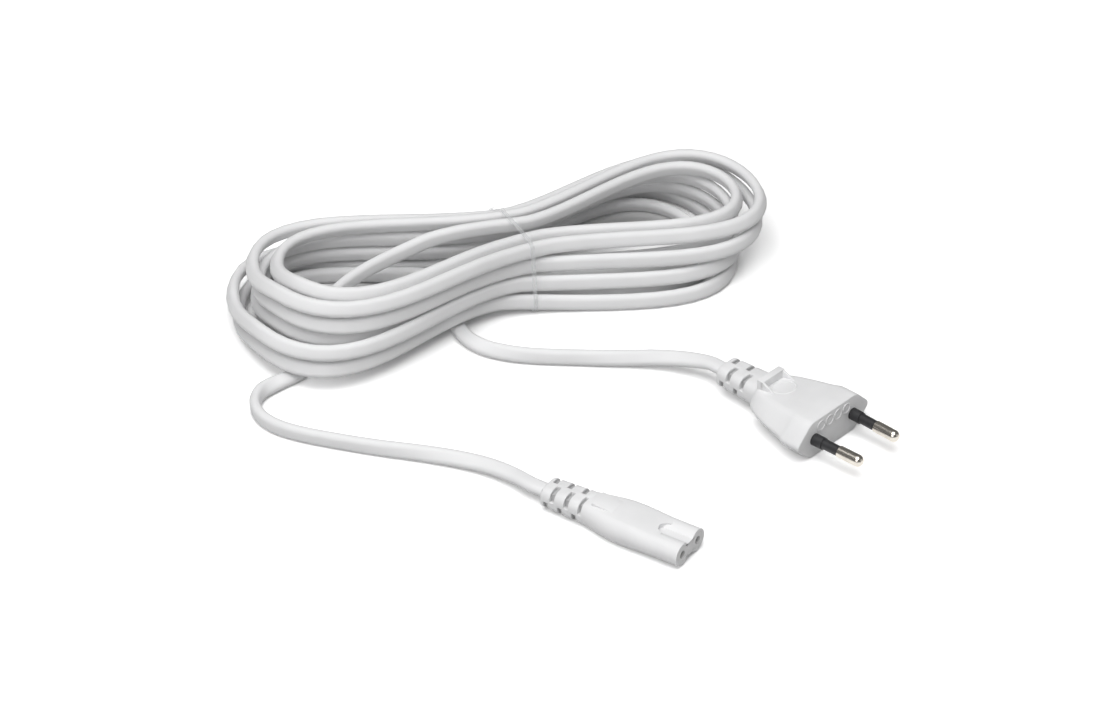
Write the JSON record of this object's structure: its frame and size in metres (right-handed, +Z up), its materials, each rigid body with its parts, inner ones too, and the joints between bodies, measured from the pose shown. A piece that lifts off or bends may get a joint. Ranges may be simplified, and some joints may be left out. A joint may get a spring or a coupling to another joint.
{
  "type": "mains lead",
  "caption": "Flat two-core mains lead with a flat two-pin plug and a figure-eight appliance connector, its white cord tied up in a hank.",
  "frame": {"origin": "on the table, under the middle of the box round the plug and the connector together", "axes": "+Z up from the table; +X and +Y along the table, +X along the longer side of the box round the plug and the connector"},
  "size_m": [0.2149, 0.2075, 0.0297],
  "materials": {
    "white_pvc": "satin moulded PVC",
    "cord_pvc": "satin extruded PVC",
    "bridge_plastic": "moulded",
    "insert_plastic": "hard moulded",
    "pin_nickel": "nickel plated",
    "sleeve_black": "satin",
    "tinned_brass": "tinned",
    "copper_strand": "bare copper",
    "core_brown": "extruded",
    "core_blue": "extruded",
    "contact_brass": "spring brass",
    "tie_clear": "clear film"
  },
  "bodies": {
    "root": {"plug_body": "white_pvc", "plug_bridge": "bridge_plastic", "pin_left": "pin_nickel", "pin_right": "pin_nickel", "pin_sleeve_left": "sleeve_black", "pin_sleeve_right": "sleeve_black", "plug_crimp_left": "tinned_brass", "plug_crimp_right": "tinned_brass", "plug_core_brown": "core_brown", "plug_core_blue": "core_blue", "plug_strands_left": "copper_strand", "plug_strands_right": "copper_strand", "plug_sheath_end": "cord_pvc", "connector_body": "white_pvc", "connector_insert": "insert_plastic", "contact_left": "contact_brass", "contact_right": "contact_brass", "connector_core_brown": "core_brown", "connector_core_blue": "core_blue", "connector_strands_left": "copper_strand", "connector_strands_right": "copper_strand", "connector_sheath_end": "cord_pvc", "plug_tail": "cord_pvc", "hank": "cord_pvc", "connector_tail": "cord_pvc", "hank_tie": "tie_clear"}
  },
  "joints": []
}
